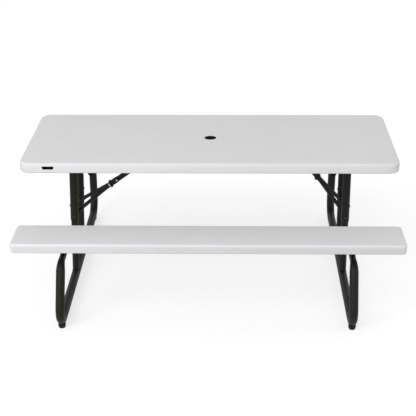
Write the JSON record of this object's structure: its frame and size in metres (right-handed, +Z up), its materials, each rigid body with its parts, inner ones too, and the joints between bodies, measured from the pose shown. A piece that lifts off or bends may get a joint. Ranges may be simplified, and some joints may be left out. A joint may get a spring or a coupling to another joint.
{
  "type": "folding picnic table with attached benches",
  "caption": "Long rectangular folding table with a moulded top, a bench along each side and sled shaped tube end frames that swing flat.",
  "frame": {"origin": "on the ground under the middle of the table", "axes": "+X along the table to the right of the picture, +Y away from the viewer to the far bench, +Z up"},
  "size_m": [1.829, 1.448, 0.737],
  "materials": {
    "moulded_white": "off-white with a fine moulded grain",
    "bronze_steel": "dark bronze satin powder coat",
    "zinc_steel": "zinc plated",
    "black_plastic": "moulded",
    "black_rubber": "dull"
  },
  "bodies": {
    "table": {"table_top": "moulded_white", "right_near_hinge_bracket": "bronze_steel", "right_far_hinge_bracket": "bronze_steel", "left_near_hinge_bracket": "bronze_steel", "left_far_hinge_bracket": "bronze_steel", "right_near_hinge_pin": "zinc_steel", "right_far_hinge_pin": "zinc_steel", "left_near_hinge_pin": "zinc_steel", "left_far_hinge_pin": "zinc_steel", "right_brace_bracket": "bronze_steel", "left_brace_bracket": "bronze_steel", "right_brace_pin": "zinc_steel", "left_brace_pin": "zinc_steel"},
    "plug": {"umbrella_plug": "black_plastic"},
    "right_frame": {"right_sled_tube": "bronze_steel", "right_near_upper_leg": "bronze_steel", "right_far_upper_leg": "bronze_steel", "right_near_lower_leg": "bronze_steel", "right_far_lower_leg": "bronze_steel", "right_near_leg_bolt": "zinc_steel", "right_far_leg_bolt": "zinc_steel", "right_near_brace_bolt": "zinc_steel", "right_far_brace_bolt": "zinc_steel", "right_near_foot_glide": "black_rubber", "right_far_foot_glide": "black_rubber", "right_near_journal_cap": "black_plastic", "right_far_journal_cap": "black_plastic"},
    "left_frame": {"left_sled_tube": "bronze_steel", "left_near_upper_leg": "bronze_steel", "left_far_upper_leg": "bronze_steel", "left_near_lower_leg": "bronze_steel", "left_far_lower_leg": "bronze_steel", "left_near_leg_bolt": "zinc_steel", "left_far_leg_bolt": "zinc_steel", "left_near_brace_bolt": "zinc_steel", "left_far_brace_bolt": "zinc_steel", "left_near_foot_glide": "black_rubber", "left_far_foot_glide": "black_rubber", "left_near_journal_cap": "black_plastic", "left_far_journal_cap": "black_plastic"},
    "near_seat": {"near_bench": "moulded_white", "near_bench_right_bracket": "bronze_steel", "near_bench_left_bracket": "bronze_steel"},
    "far_seat": {"far_bench": "moulded_white", "far_bench_right_bracket": "bronze_steel", "far_bench_left_bracket": "bronze_steel"},
    "right_fork": {"right_near_fork_arm": "bronze_steel", "right_far_fork_arm": "bronze_steel", "right_near_knee_rivet": "zinc_steel", "right_far_knee_rivet": "zinc_steel"},
    "right_link": {"right_brace_link": "bronze_steel"},
    "right_ring": {"right_lock_ring": "bronze_steel"},
    "left_fork": {"left_near_fork_arm": "bronze_steel", "left_far_fork_arm": "bronze_steel", "left_near_knee_rivet": "zinc_steel", "left_far_knee_rivet": "zinc_steel"},
    "left_link": {"left_brace_link": "bronze_steel"},
    "left_ring": {"left_lock_ring": "bronze_steel"}
  },
  "joints": [
    {"name": "fold", "type": "hinge", "parent": "table", "child": "right_frame", "pos_m": [0.688, 0, 0.657], "axis": [0, 1, 0], "range_deg": [0, 90]},
    {"name": "left_fold", "type": "hinge", "parent": "table", "child": "left_frame", "pos_m": [-0.688, 0, 0.657], "axis": [0, 1, 0], "range_deg": [0, 90]},
    {"name": "near_seat_pivot", "type": "hinge", "parent": "right_frame", "child": "near_seat", "pos_m": [0.683, -0.54, 0.335], "axis": [0, 1, 0], "range_deg": [-90, 0]},
    {"name": "far_seat_pivot", "type": "hinge", "parent": "right_frame", "child": "far_seat", "pos_m": [0.683, 0.54, 0.335], "axis": [0, 1, 0], "range_deg": [-90, 0]},
    {"name": "right_fork_swing", "type": "hinge", "parent": "right_frame", "child": "right_fork", "pos_m": [0.68703, 0, 0.356], "axis": [0, 1, 0], "range_deg": [-141.2, 0]},
    {"name": "right_link_swing", "type": "hinge", "parent": "table", "child": "right_link", "pos_m": [0.445, 0, 0.657], "axis": [0, 1, 0], "range_deg": [-51.2, 0]},
    {"name": "left_fork_swing", "type": "hinge", "parent": "left_frame", "child": "left_fork", "pos_m": [-0.69525, 0, 0.356], "axis": [0, 1, 0], "range_deg": [-54.26, 0]},
    {"name": "left_link_swing", "type": "hinge", "parent": "table", "child": "left_link", "pos_m": [-0.277, 0, 0.657], "axis": [0, 1, 0], "range_deg": [0, 35.75]},
    {"name": "right_ring_slide", "type": "slide", "parent": "right_fork", "child": "right_ring", "axis": [-0.6266, 0, 0.7793], "range_m": [0, 0.045]},
    {"name": "left_ring_slide", "type": "slide", "parent": "left_fork", "child": "left_ring", "axis": [0.8117, 0, 0.5841], "range_m": [0, 0.045]},
    {"name": "plug_lift", "type": "slide", "parent": "table", "child": "plug", "axis": [0, 0, 1], "range_m": [0, 0.05]}
  ],
  "couplings": [
    {"joint": "left_fold", "follows": "fold", "ratio": 1},
    {"joint": "near_seat_pivot", "follows": "fold", "ratio": -1},
    {"joint": "far_seat_pivot", "follows": "fold", "ratio": -1},
    {"joint": "right_fork_swing", "follows": "fold", "ratio": -1.5689},
    {"joint": "right_link_swing", "follows": "fold", "ratio": -0.56886},
    {"joint": "left_fork_swing", "follows": "fold", "ratio": -0.60287},
    {"joint": "left_link_swing", "follows": "fold", "ratio": 0.39713}
  ]
}
